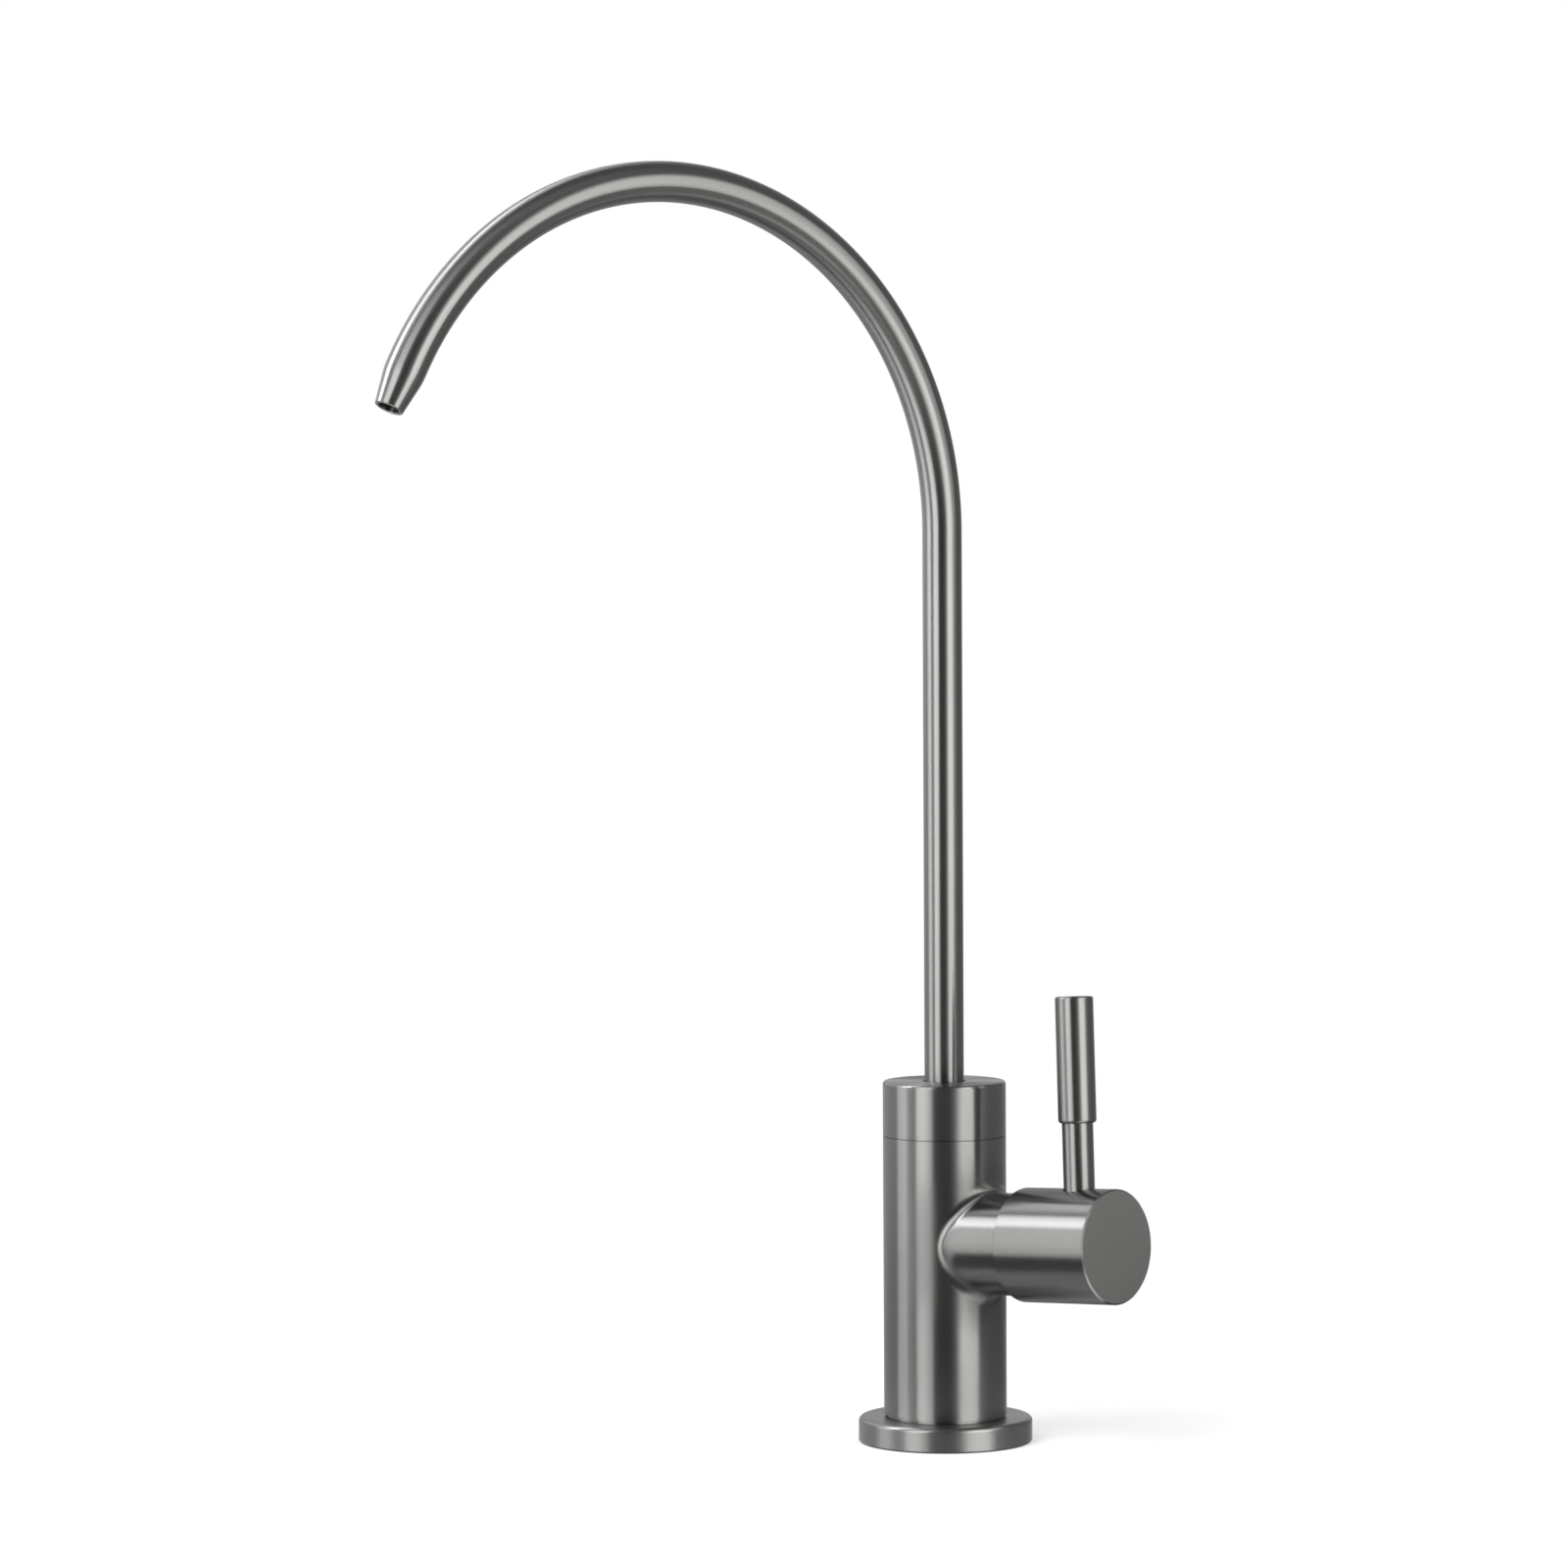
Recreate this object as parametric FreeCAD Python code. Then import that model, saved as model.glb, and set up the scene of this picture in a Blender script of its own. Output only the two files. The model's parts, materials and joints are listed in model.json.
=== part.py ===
import FreeCAD, Part
import os
from math import acos, atan2, cos, hypot, radians, sin

# Slim gooseneck drinking water faucet with a side lever. Sizes are in millimetres.
# +Z is up and the origin is on the counter's top face, on the axis of the base.
# The handle stands out along +X and a little upwards, the user stands on the -Y side, and the
# lever is shown closed.
# The spout can turn all the way round; it is built at the heading that it has at rest.

os.makedirs("parts", exist_ok=True)
V = FreeCAD.Vector

# Base plate and its gasket
base_d = 42.4
base_h = 6.1
base_round = 1.15
base_bevel = 0.4
base_hole_d = 12.6
foot_recess = 1.0
foot_gap = 0.25
gasket_d = 34.0
gasket_hole_d = 18.0
gasket_t = 1.6
gasket_gap = 0.1

# Upright body with its side branch, and the slimmer foot that stands in the base plate
body_d = 30.0
foot_inset = 0.6
foot_step = 0.7
branch_d = 24.8
branch_l = 27.5
branch_round = 3.2
branch_tilt = 3.2
handle_rise = 42.4
head_rise = 26.3
neck_d = 25.0
seam_gap = 0.15

# Waterways inside the body
inlet_d = 5.0
inlet_x = -6.5
outlet_hole_d = 5.0
outlet_hole_x = 4.5
seat_hole_d = 6.0
seat_wall = 1.5
chamber_d = 17.0
spout_web = 1.7
spout_socket_d = 15.0
ring_seat_d = 19.6
drill_point = 3.5
channel_reach = 1.0
mouth_bevel = 0.4

# Cap that closes the top of the body
cap_h = 13.4
cap_roof = 4.4
cap_round = 0.7
cap_hole_gap = 0.4
neck_gap = 0.2

# Gooseneck tube
tube_d = 9.6
tube_wall = 0.9
riser_h = 133.8
bend_r = 82.0
bend_sweep = 152.0
outlet_straight = 1.2
outlet_taper = 10.1
outlet_d = 6.8
outlet_blend_r = 18.0
spout_heading = -102.8

# Bush at the foot of the tube, and the rings that it turns between
bush_lift = 1.5
tube_seat_t = 1.5
bush_shoulder_d = 19.0
bush_shoulder_t = 2.5
lower_ring_t = 1.0
upper_ring_t = 1.8
slip_gap = 0.15
bush_bevel = 0.6
bush_ring_rise = 4.0
bush_ring_step = 4.6
bush_ring_wire = 1.8

# Threaded shank, its nut and washers, clamped on a counter of this thickness
counter_t = 12.0
shank_d = 12.0
shank_bore_d = 7.0
shank_drop = 48.0
shank_entry = 13.5
shank_runout = 2.0
shank_bevel = 0.8
shank_ring_wire = 1.9
shank_ring_gap = 0.05
rubber_washer_d = 26.0
rubber_washer_t = 3.0
steel_washer_d = 24.0
steel_washer_t = 1.5
lock_washer_d = 20.0
lock_washer_t = 0.8
lock_washer_root_d = 16.4
lock_teeth = 12
washer_gap = 0.15
nut_across = 19.0
nut_t = 7.0

# Push-in fitting for the supply tube, on the end of the shank
fitting_across = 18.0
fitting_hex_h = 9.0
fitting_d = 17.0
fitting_grip = 10.0
fitting_seal_t = 1.5
fitting_l = 28.0
fitting_bore_d = 5.0
fitting_bevel = 0.6
supply_d = 6.35
supply_gap = 0.12
supply_depth = 4.0
supply_ring_wire = 1.9
ring_room = 0.3
collet_d = 9.8
collet_bore_d = 6.5
collet_flange_d = 15.0
collet_flange_t = 1.5
collet_travel = 1.5
collet_l = 9.0
collet_gap = 0.2
collet_barb = 0.7
collet_barb_h = 2.0
collet_slot = 0.8
collet_slot_l = 5.4
collet_play = 0.1
lip_h = 3.0

# Ceramic disc cartridge on the handle axis
seat_seal_d = 13.2
seat_seal_hole_d = 7.2
seat_seal_t = 2.0
disc_d = 13.6
disc_t = 3.0
disc_lug_d = 15.4
disc_lug_w = 3.0
port_inner_d = 6.0
port_outer_d = 11.2
port_angle = 76.0
housing_bore_d = 14.0
housing_setback = 0.6
water_gap = 0.5
window_l = 3.5
window_w = 9.0
driver_d = 13.5
driver_t = 2.3
drive_bar_w = 4.0
drive_bar_l = 12.4
drive_slot = 1.2
drive_gap = 0.12
thrust_t = 0.6
housing_ring_x = 15.0
housing_ring_wire = 1.6
flange_d = 20.4
flange_t = 1.0
hex_across = 17.0
hex_t = 4.5
stop_neck_d = 12.4
stop_neck_l = 2.5
stop_turn = 90.0
lug_angle = 30.0
lug_play = 0.5

# Spindle, its seals and what holds it in
spindle_d = 8.0
spindle_ring_wire = 1.1
spindle_ring_x = 20.0
spindle_ring_step = 3.5
stop_ring_d = 11.0
stop_ring_t = 1.2
lug_gap = 0.2
clip_d = 10.4
clip_t = 0.8
clip_groove = 0.7
clip_mouth = 4.4
spline_teeth = 20
spline_depth = 0.4
spline_l = 7.7
spline_bevel = 0.3

# Handle cap and its lever
handle_d = 27.6
handle_l = 27.2
handle_rim_x = 25.4
handle_skirt_gap = 0.4
handle_room_d = 22.8
handle_room_gap = 0.5
handle_bevel = 0.35
lever_x = 41.75
lever_lean = -1.8
lever_d = 7.5
lever_spot_d = 7.9
lever_seat_r = 12.4
lever_thread_d = 5.0
lever_step_r = 29.5
lever_top_r = 59.8
sleeve_d = 9.2
sleeve_entry = 2.0
sleeve_spigot_d = 6.0
sleeve_spigot_l = 17.0
sleeve_drill_gap = 1.5
sleeve_round = 0.8
sleeve_top_round = 0.5

# Fits
turn_gap = 0.05
thread_gap = 0.05
end_gap = 0.05
side_gap = 0.1
seal_gap = 0.03
squeezed_flat = 0.5
touch = 0.001

# Heights up the vertical axis, with the handle axis where it crosses that one
foot_z = base_h - foot_recess
handle_z = base_h + handle_rise
seam_z = handle_z + head_rise
cap_top_z = seam_z + cap_h
cap_ceiling_z = cap_top_z - cap_roof
neck_top_z = cap_ceiling_z - neck_gap
upper_ring_z = cap_ceiling_z - upper_ring_t
shoulder_z = upper_ring_z - bush_shoulder_t
lower_ring_z = shoulder_z - lower_ring_t
tilt_rise = spout_socket_d / 2 * sin(radians(branch_tilt))
spout_floor_z = handle_z + chamber_d / 2 + tilt_rise + spout_web
bush_foot_z = spout_floor_z + bush_lift
tube_foot_z = bush_foot_z + tube_seat_t
bend_z = cap_top_z + riser_h
shank_top_z = foot_z + shank_entry
socket_top_z = shank_top_z + shank_runout

# Diameters of the foot, and of the counterbore and the tube's entry that hold a seal
foot_d = body_d - 2 * foot_inset
shank_ring_hole_d = shank_d + 2 * shank_ring_wire + 4 * shank_ring_gap
supply_ring_hole_d = supply_d + 2 * supply_ring_wire + 4 * seal_gap

# Heights below the counter
rubber_z = -counter_t - rubber_washer_t
steel_z = rubber_z - steel_washer_t
lock_z = steel_z - lock_washer_t
nut_z = lock_z - nut_t
fitting_top_z = -shank_drop + fitting_grip
fitting_seal_z = -shank_drop - fitting_seal_t
fitting_end_z = fitting_top_z - fitting_l
collet_end_z = fitting_end_z - collet_travel - collet_flange_t
collet_top_z = collet_end_z + collet_l
lip_z = fitting_end_z + lip_h
collet_room_z = collet_top_z + collet_travel + end_gap
supply_ring_z = collet_room_z + supply_ring_wire + ring_room
tube_stop_z = supply_ring_z + supply_depth

# Distances out along the handle axis
seat_x = inlet_x + inlet_d / 2 + seat_wall
fixed_x = seat_x + seat_seal_t
moving_x = fixed_x + disc_t
window_x = moving_x + disc_t
driver_x = window_x + window_l
thrust_x = driver_x + driver_t
bore_end_x = thrust_x + thrust_t + end_gap
hex_x = branch_l + flange_t
stop_neck_x = hex_x + hex_t
stop_ring_x = stop_neck_x + stop_neck_l + lug_gap
clip_x = stop_ring_x + stop_ring_t + end_gap
spline_x = clip_x + clip_t + end_gap
spindle_end_x = spline_x + spline_l
room_end_x = spline_x + handle_room_gap
handle_end_x = handle_rim_x + handle_l


# Shapes turned about +Z
def rod(diameter, low, high):
    return Part.makeCylinder(diameter / 2, high - low, V(0, 0, low))


def ring(outer, inner, low, high):
    return rod(outer, low, high).cut(rod(inner, low, high))


def cross_bar(length, width, low, high):
    return Part.makeBox(length, width, high - low, V(-length / 2, -width / 2, low))


def side_rod(diameter, low, high, x):
    return Part.makeCylinder(diameter / 2, high - low, V(x, 0, low))


def o_ring(middle_d, wire, height):
    # a rubber ring as fitted, its round section squeezed into flats against the groove and the wall
    half = wire / 2
    flat = half * squeezed_flat
    middle = middle_d / 2
    section = ((half, flat), (flat, half), (-flat, half), (-half, flat))
    section += tuple((-out, -up) for out, up in section)
    points = [V(middle + out, 0, height + up) for out, up in section]
    return Part.Face(Part.makePolygon(points + points[:1])).revolve(V(), V(0, 0, 1), 360)


def groove(shape, outer, wire, middle):
    # a square groove for a ring of this wire, cut into a shaft of this outer diameter
    width = wire + ring_room
    root = outer - 2 * wire
    return shape.cut(ring(outer + 2 * wire, root, middle - width / 2, middle + width / 2))


def shaft_ring(hole_d, wire, middle):
    # the ring as fitted: just clear of the hole's wall and bedded in its groove
    return o_ring(hole_d - 2 * seal_gap - wire, wire, middle)


def prism(across, low, high, bevel):
    # a hexagon across its flats, with both ends turned down to a bevelled circle
    corner = across / 2 / cos(radians(30))
    points = [V(corner * cos(radians(60 * n)), corner * sin(radians(60 * n)), low) for n in range(7)]
    solid = Part.Face(Part.makePolygon(points)).extrude(V(0, 0, high - low))
    envelope = rod(2 * corner, low, high)
    ends = circles(envelope, 2 * corner, low) + circles(envelope, 2 * corner, high)
    return solid.common(envelope.makeChamfer(bevel, ends))


def circles(shape, diameter, height):
    found = []
    for edge in shape.Edges:
        curve = edge.Curve
        if not isinstance(curve, Part.Circle):
            continue
        if abs(2 * curve.Radius - diameter) < touch and abs(curve.Center.z - height) < touch:
            found.append(edge)
    return found


def rounded(shape, size, diameter, height):
    return shape.makeFillet(size, circles(shape, diameter, height))


def bevelled(shape, size, diameter, height):
    return shape.makeChamfer(size, circles(shape, diameter, height))


def joined(first, *others):
    return first.fuse(list(others)).removeSplitter()


def toothed(root_d, tip_d, teeth, low, high):
    # straight teeth round a circle, each a quarter pitch wide on its crest
    points = []
    pitch = 360 / teeth
    for n in range(teeth):
        for share, diameter in ((0.0, root_d), (0.25, root_d), (0.5, tip_d), (0.75, tip_d)):
            turn = radians(pitch * (n + share))
            points.append(V(diameter / 2 * cos(turn), diameter / 2 * sin(turn), low))
    return Part.Face(Part.makePolygon(points + points[:1])).extrude(V(0, 0, high - low))


def sector(outer, inner, start, angle, low, high):
    # a piece of a ring, counted from +X about +Z
    piece = Part.makeCylinder(outer / 2, high - low, V(0, 0, low), V(0, 0, 1), angle)
    piece.rotate(V(), V(0, 0, 1), start)
    return piece.cut(rod(inner, low, high))


# The valve is modelled about +Z with its top towards +X, then laid along the tilted handle axis
handle_out = V(cos(radians(branch_tilt)), 0, sin(radians(branch_tilt)))
handle_up = V(-handle_out.z, 0, handle_out.x)


def on_handle_axis(shape, turn=0.0):
    placed = shape.copy()
    placed.rotate(V(), V(0, 0, 1), turn)
    lay_down = FreeCAD.Rotation(handle_up, V(0, -1, 0), handle_out, "ZXY")
    placed.Placement = FreeCAD.Placement(V(0, 0, handle_z), lay_down).multiply(placed.Placement)
    return placed


# Base plate and its gasket
def base_flange():
    plate = rod(base_d, 0, base_h)
    plate = rounded(plate, base_round, base_d, base_h)
    plate = bevelled(plate, base_bevel, base_d, 0)
    plate = plate.cut(rod(base_hole_d, 0, base_h))
    plate = plate.cut(rod(foot_d + 2 * foot_gap, foot_z, base_h))
    return plate.cut(ring(gasket_d, gasket_hole_d, 0, gasket_t))


def base_gasket():
    return ring(gasket_d - 2 * gasket_gap, gasket_hole_d + 2 * gasket_gap, 0, gasket_t)


# Upright body: a bar with a filleted branch, drilled for the waterways
def branch_joint(shape):
    found = []
    for edge in shape.Edges:
        points = edge.discretize(5)
        heights = [handle_up.dot(p - V(0, 0, handle_z)) for p in points]
        on_bar = all(abs(hypot(p.x, p.y) - body_d / 2) < touch for p in points)
        on_branch = all(abs(hypot(p.y, h) - branch_d / 2) < touch for p, h in zip(points, heights))
        if on_bar and on_branch:
            found.append(edge)
    return found


def body():
    bar = joined(rod(foot_d, foot_z, base_h + foot_step), rod(body_d, base_h + foot_step, seam_z))
    branch = on_handle_axis(rod(branch_d, 0, branch_l))
    shape = bar.fuse(branch)
    shape = shape.makeFillet(branch_round, branch_joint(shape))
    shape = shape.fuse(rod(neck_d, seam_z, neck_top_z))
    chamber = joined(
        rod(chamber_d, seat_x, branch_l),
        rod(seat_hole_d, inlet_x, seat_x),
    )
    mouth_d = chamber_d + 2 * mouth_bevel
    mouth = Part.makeCone(chamber_d / 2, mouth_d / 2, mouth_bevel, V(0, 0, branch_l - mouth_bevel))
    shape = shape.cut(on_handle_axis(chamber)).cut(on_handle_axis(mouth))
    shank_hole = rod(shank_d + 2 * thread_gap, foot_z, socket_top_z)
    drill_tip = Part.makeCone(shank_d / 2 + thread_gap, 0, drill_point, V(0, 0, socket_top_z))
    ring_hole = rod(shank_ring_hole_d, foot_z, foot_z + shank_ring_wire)
    shape = shape.cut(shank_hole).cut(drill_tip).cut(ring_hole)
    shape = shape.cut(side_rod(inlet_d, socket_top_z - channel_reach, handle_z + inlet_d / 2, inlet_x))
    outlet_low = handle_z + chamber_d / 2 - outlet_hole_d / 2
    shape = shape.cut(side_rod(outlet_hole_d, outlet_low, spout_floor_z + channel_reach, outlet_hole_x))
    shape = shape.cut(rod(spout_socket_d, spout_floor_z, neck_top_z))
    return shape.cut(rod(ring_seat_d, lower_ring_z, neck_top_z))


def top_cap():
    cap = rod(body_d, seam_z + seam_gap, cap_top_z)
    cap = rounded(cap, cap_round, body_d, cap_top_z)
    cap = cap.cut(rod(neck_d + 2 * thread_gap, seam_z, cap_ceiling_z))
    return cap.cut(rod(tube_d + 2 * cap_hole_gap, cap_ceiling_z, cap_top_z))


# Gooseneck: a riser, a long bend and a swaged outlet, made heading for +X and then turned
def outlet_end(radius, end_radius):
    # a straight stretch, a blend arc and a cone that is tangent to it, turned about +Z
    drop = radius - end_radius
    reach = hypot(outlet_taper, outlet_blend_r - drop)
    turn = atan2(outlet_taper, outlet_blend_r - drop) - acos(outlet_blend_r / reach)
    end_z = outlet_straight + outlet_taper

    def on_arc(angle):
        out = radius - outlet_blend_r * (1 - cos(angle))
        return V(out, 0, outlet_straight + outlet_blend_r * sin(angle))

    edges = [
        Part.LineSegment(V(0, 0, 0), V(radius, 0, 0)),
        Part.LineSegment(V(radius, 0, 0), on_arc(0)),
        Part.Arc(on_arc(0), on_arc(turn / 2), on_arc(turn)),
        Part.LineSegment(on_arc(turn), V(end_radius, 0, end_z)),
        Part.LineSegment(V(end_radius, 0, end_z), V(0, 0, end_z)),
        Part.LineSegment(V(0, 0, end_z), V(0, 0, 0)),
    ]
    wire = Part.Wire([edge.toShape() for edge in edges])
    return Part.Face(wire).revolve(V(), V(0, 0, 1), 360)


def spout_tube():
    bore_d = tube_d - 2 * tube_wall
    riser = ring(tube_d, bore_d, tube_foot_z, bend_z)
    rim = Part.Face([
        Part.Wire(Part.makeCircle(tube_d / 2, V(0, 0, bend_z))),
        Part.Wire(Part.makeCircle(bore_d / 2, V(0, 0, bend_z))),
    ])
    bend = rim.revolve(V(bend_r, 0, bend_z), V(0, 1, 0), bend_sweep)
    outlet = outlet_end(tube_d / 2, outlet_d / 2)
    outlet = outlet.cut(outlet_end(bore_d / 2, outlet_d / 2 - tube_wall))
    outlet.rotate(V(), V(0, 1, 0), bend_sweep)
    turn = radians(bend_sweep)
    outlet.translate(V(bend_r * (1 - cos(turn)), 0, bend_z + bend_r * sin(turn)))
    tube = joined(riser, bend, outlet)
    tube.rotate(V(), V(0, 0, 1), spout_heading)
    return tube


def bush_ring_heights():
    first = bush_foot_z + bush_ring_rise
    return [first, first + bush_ring_step]


def spout_bush():
    body_part = rod(spout_socket_d - 2 * turn_gap, bush_foot_z, shoulder_z)
    body_part = bevelled(body_part, bush_bevel, spout_socket_d - 2 * turn_gap, bush_foot_z)
    shoulder = rod(bush_shoulder_d, shoulder_z, upper_ring_z)
    bush = body_part.fuse(shoulder)
    for height in bush_ring_heights():
        bush = groove(bush, spout_socket_d - 2 * turn_gap, bush_ring_wire, height)
    bush = bush.cut(rod(tube_d - 2 * tube_wall, bush_foot_z, tube_foot_z))
    return bush.cut(rod(tube_d, tube_foot_z, upper_ring_z))


def spout_o_rings():
    rings = [shaft_ring(spout_socket_d, bush_ring_wire, height) for height in bush_ring_heights()]
    return Part.makeCompound(rings)


def lower_slip_ring():
    inner = spout_socket_d + 2 * slip_gap
    return ring(ring_seat_d - 2 * side_gap, inner, lower_ring_z, shoulder_z)


def upper_slip_ring():
    inner = tube_d + 2 * cap_hole_gap + 2 * slip_gap
    return ring(ring_seat_d - 2 * side_gap, inner, upper_ring_z, cap_ceiling_z)


# Shank through the counter, with what clamps it from below
def shank():
    bar = ring(shank_d, shank_bore_d, -shank_drop, shank_top_z)
    bar = bevelled(bar, shank_bevel, shank_d, shank_top_z)
    return bevelled(bar, shank_bevel, shank_d, -shank_drop)


def shank_seal():
    middle_d = shank_d + shank_ring_wire + 2 * shank_ring_gap
    return o_ring(middle_d, shank_ring_wire, foot_z + shank_ring_wire / 2)


def rubber_washer():
    return ring(rubber_washer_d, shank_d + 2 * washer_gap, rubber_z, -counter_t)


def steel_washer():
    return ring(steel_washer_d, shank_d + 2 * washer_gap, steel_z, rubber_z)


def lock_washer():
    star = toothed(lock_washer_root_d, lock_washer_d, lock_teeth, lock_z, steel_z)
    return star.cut(rod(shank_d + 2 * washer_gap, lock_z, steel_z))


def mounting_nut():
    nut = prism(nut_across, nut_z, lock_z, shank_bevel)
    nut = nut.cut(rod(shank_d + 2 * thread_gap, nut_z, lock_z))
    return nut


# Push-in fitting on the end of the shank
def tube_fitting():
    head = prism(fitting_across, fitting_top_z - fitting_hex_h, fitting_top_z, fitting_bevel)
    barrel = rod(fitting_d, fitting_end_z, fitting_top_z - fitting_hex_h)
    barrel = bevelled(barrel, fitting_bevel, fitting_d, fitting_end_z)
    shape = head.fuse(barrel)
    shape = shape.cut(rod(shank_d + 2 * thread_gap, fitting_seal_z, fitting_top_z))
    shape = shape.cut(rod(fitting_bore_d, tube_stop_z, fitting_seal_z))
    shape = shape.cut(rod(supply_d + 2 * supply_gap, supply_ring_z, tube_stop_z))
    shape = shape.cut(rod(supply_ring_hole_d, collet_room_z, supply_ring_z))
    room_d = collet_d + 2 * collet_barb + 2 * collet_gap
    shape = shape.cut(rod(room_d, lip_z, collet_room_z))
    return shape.cut(rod(collet_d + 2 * collet_gap, fitting_end_z, lip_z))


def fitting_seal():
    return ring(shank_d - 2 * side_gap, shank_bore_d, fitting_seal_z, -shank_drop)


def fitting_o_ring():
    middle_d = supply_d + supply_ring_wire + 2 * seal_gap
    return o_ring(middle_d, supply_ring_wire, (collet_room_z + supply_ring_z) / 2)


def tube_collet():
    sleeve = rod(collet_d, collet_end_z, collet_top_z)
    flange = rod(collet_flange_d, collet_end_z, collet_end_z + collet_flange_t)
    flange = bevelled(flange, collet_flange_t / 3, collet_flange_d, collet_end_z)
    barb_z = lip_z + collet_play
    barb_top = collet_d / 2 + collet_barb
    barb = Part.makeCone(barb_top, collet_d / 2, collet_barb_h, V(0, 0, barb_z))
    shape = joined(sleeve, flange, barb)
    shape = shape.cut(rod(collet_bore_d, collet_end_z, collet_top_z))
    reach = 2 * barb_top
    slot = cross_bar(reach, collet_slot, collet_top_z - collet_slot_l, collet_top_z)
    for turn in (0, 90):
        cutter = slot.copy()
        cutter.rotate(V(), V(0, 0, 1), turn)
        shape = shape.cut(cutter)
    return shape


# Cartridge, modelled about +Z with its top towards +X
def seat_seal():
    return ring(seat_seal_d, seat_seal_hole_d, seat_x, fixed_x)


def ports(low, high, facing):
    # two ports across the middle of a disc
    cutters = []
    for turn in (facing, facing + 180):
        start = turn - port_angle / 2
        cutters.append(sector(port_outer_d, port_inner_d, start, port_angle, low, high))
    return cutters


def fixed_disc():
    lugs = rod(disc_lug_d, fixed_x, moving_x)
    lugs = lugs.common(cross_bar(disc_lug_d, disc_lug_w, fixed_x, moving_x))
    disc = joined(rod(disc_d, fixed_x, moving_x), lugs)
    for port in ports(fixed_x, moving_x, 0):
        disc = disc.cut(port)
    return disc


def moving_disc():
    disc = rod(disc_d, moving_x, window_x)
    for port in ports(moving_x, window_x, 90):
        disc = disc.cut(port)
    slot = cross_bar(disc_d, drive_bar_w + 2 * drive_gap, window_x - drive_slot, window_x)
    return disc.cut(slot)


def cartridge_housing():
    start = seat_x + housing_setback
    slim_d = chamber_d - 2 * water_gap
    fit_d = chamber_d - 2 * thread_gap
    shape = joined(
        rod(slim_d, start, bore_end_x),
        rod(fit_d, bore_end_x, branch_l),
        rod(flange_d, branch_l, hex_x),
        prism(hex_across, hex_x, stop_neck_x, flange_t / 2),
        rod(stop_neck_d, stop_neck_x, stop_neck_x + stop_neck_l),
    )
    shape = shape.cut(rod(housing_bore_d, start, bore_end_x))
    shape = shape.cut(rod(spindle_d + 2 * turn_gap, bore_end_x, stop_neck_x + stop_neck_l))
    shape = groove(shape, fit_d, housing_ring_wire, housing_ring_x)
    shape = shape.cut(cross_bar(chamber_d, disc_lug_w + 2 * drive_gap, start, moving_x))
    shape = shape.cut(cross_bar(chamber_d, window_w, window_x, driver_x))
    lug_start = lever_lean - lug_angle / 2 - lug_play
    stop_gap = stop_turn + lug_angle + 2 * lug_play
    stop_room = sector(stop_neck_d + 2 * side_gap, spindle_d, lug_start, stop_gap, stop_neck_x, stop_ring_x)
    return shape.cut(stop_room)


def cartridge_o_ring():
    return shaft_ring(chamber_d, housing_ring_wire, housing_ring_x)


def spindle_ring_places():
    return [spindle_ring_x, spindle_ring_x + spindle_ring_step]


def spindle():
    stem = rod(spindle_d, thrust_x, spline_x)
    for place in spindle_ring_places():
        stem = groove(stem, spindle_d, spindle_ring_wire, place)
    stem = stem.cut(ring(clip_d, spindle_d - 2 * clip_groove, clip_x, spline_x))
    driver = rod(driver_d, driver_x, thrust_x)
    bar = cross_bar(drive_bar_l, drive_bar_w, window_x - drive_slot + side_gap, driver_x)
    splines = toothed(spindle_d - 2 * spline_depth, spindle_d, spline_teeth, spline_x, spindle_end_x)
    nose = bevelled(rod(spindle_d, spline_x, spindle_end_x), spline_bevel, spindle_d, spindle_end_x)
    return joined(stem, driver, bar, splines.common(nose))


def spindle_o_rings():
    hole_d = spindle_d + 2 * turn_gap
    rings = [shaft_ring(hole_d, spindle_ring_wire, place) for place in spindle_ring_places()]
    return Part.makeCompound(rings)


def thrust_washer():
    return ring(driver_d, spindle_d + 2 * turn_gap, thrust_x, thrust_x + thrust_t)


def stop_ring():
    plate = ring(stop_ring_d, spindle_d, stop_ring_x, stop_ring_x + stop_ring_t)
    low = stop_neck_x + lug_gap
    lug = sector(stop_ring_d, spindle_d + 2 * side_gap, -lug_angle / 2, lug_angle, low, stop_ring_x)
    return joined(plate, lug)


def spindle_clip():
    clip = ring(clip_d, spindle_d - 2 * clip_groove, clip_x, clip_x + clip_t)
    mouth = Part.makeBox(clip_d, clip_mouth, clip_t, V(0, -clip_mouth / 2, clip_x))
    return clip.cut(mouth)


# Handle cap with its radial lever, modelled with the lever towards +X
def radial_rod(diameter, low, high):
    return Part.makeCylinder(diameter / 2, high - low, V(low, 0, lever_x), V(1, 0, 0))


def handle_cap():
    cap = rod(handle_d, handle_rim_x, handle_end_x)
    cap = bevelled(cap, handle_bevel, handle_d, handle_end_x)
    cap = bevelled(cap, handle_bevel, handle_d, handle_rim_x)
    skirt_end = branch_l + handle_room_gap
    cap = cap.cut(rod(branch_d + 2 * handle_skirt_gap, handle_rim_x, skirt_end))
    cap = cap.cut(rod(handle_room_d, skirt_end, room_end_x))
    hole = toothed(
        spindle_d - 2 * spline_depth + 2 * turn_gap,
        spindle_d + 2 * turn_gap,
        spline_teeth,
        room_end_x,
        spindle_end_x + handle_room_gap,
    )
    cap = cap.cut(hole)
    cap = cap.cut(radial_rod(lever_thread_d + 2 * thread_gap, 0, lever_seat_r))
    return cap.cut(radial_rod(lever_spot_d, lever_seat_r, handle_d))


def lever_rod():
    thread = radial_rod(lever_thread_d, spindle_d / 2 + side_gap, lever_seat_r)
    bar = radial_rod(lever_d, lever_seat_r, lever_step_r + sleeve_entry)
    spigot_low = lever_step_r + sleeve_entry
    spigot = radial_rod(sleeve_spigot_d, spigot_low, spigot_low + sleeve_spigot_l)
    return joined(thread, bar, spigot)


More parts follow.
